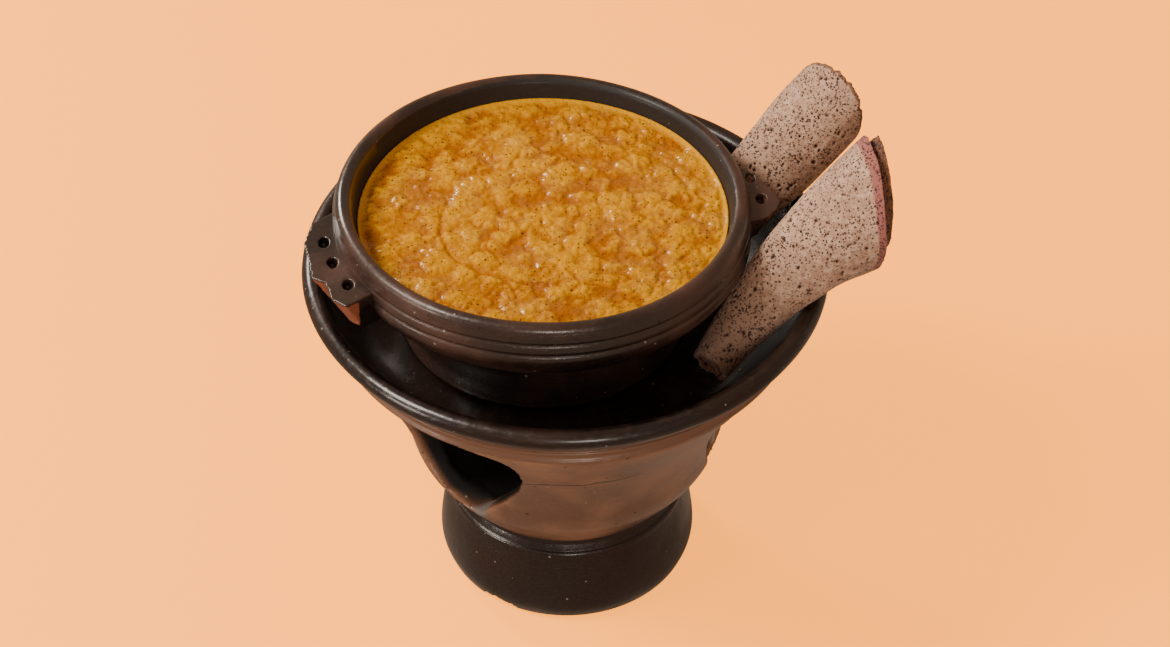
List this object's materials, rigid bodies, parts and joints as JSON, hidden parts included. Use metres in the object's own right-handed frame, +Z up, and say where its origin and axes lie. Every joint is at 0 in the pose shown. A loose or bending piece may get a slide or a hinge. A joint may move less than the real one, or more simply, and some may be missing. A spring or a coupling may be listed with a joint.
{
  "type": "rolled injera on a clay serving stand",
  "caption": "Rolled injera leaning in the flared dish of a black clay stand, beside a clay pot of golden stew.",
  "frame": {"origin": "middle of the stand's flat foot, on the surface it stands on", "axes": "+Z up along the stand's axis; -Y is the front shown in the picture; +X is the side on which the rolls lean"},
  "size_m": [0.2527, 0.2306, 0.241],
  "materials": {
    "black_clay": "burnished black clay with a soft sheen",
    "golden_stew": "wet golden lentil stew",
    "injera": "soft porous flatbread, dull"
  },
  "bodies": {
    "root": {"stand": "black_clay", "pot": "black_clay", "stew": "golden_stew", "roll_front": "injera", "roll_back": "injera"}
  },
  "joints": []
}
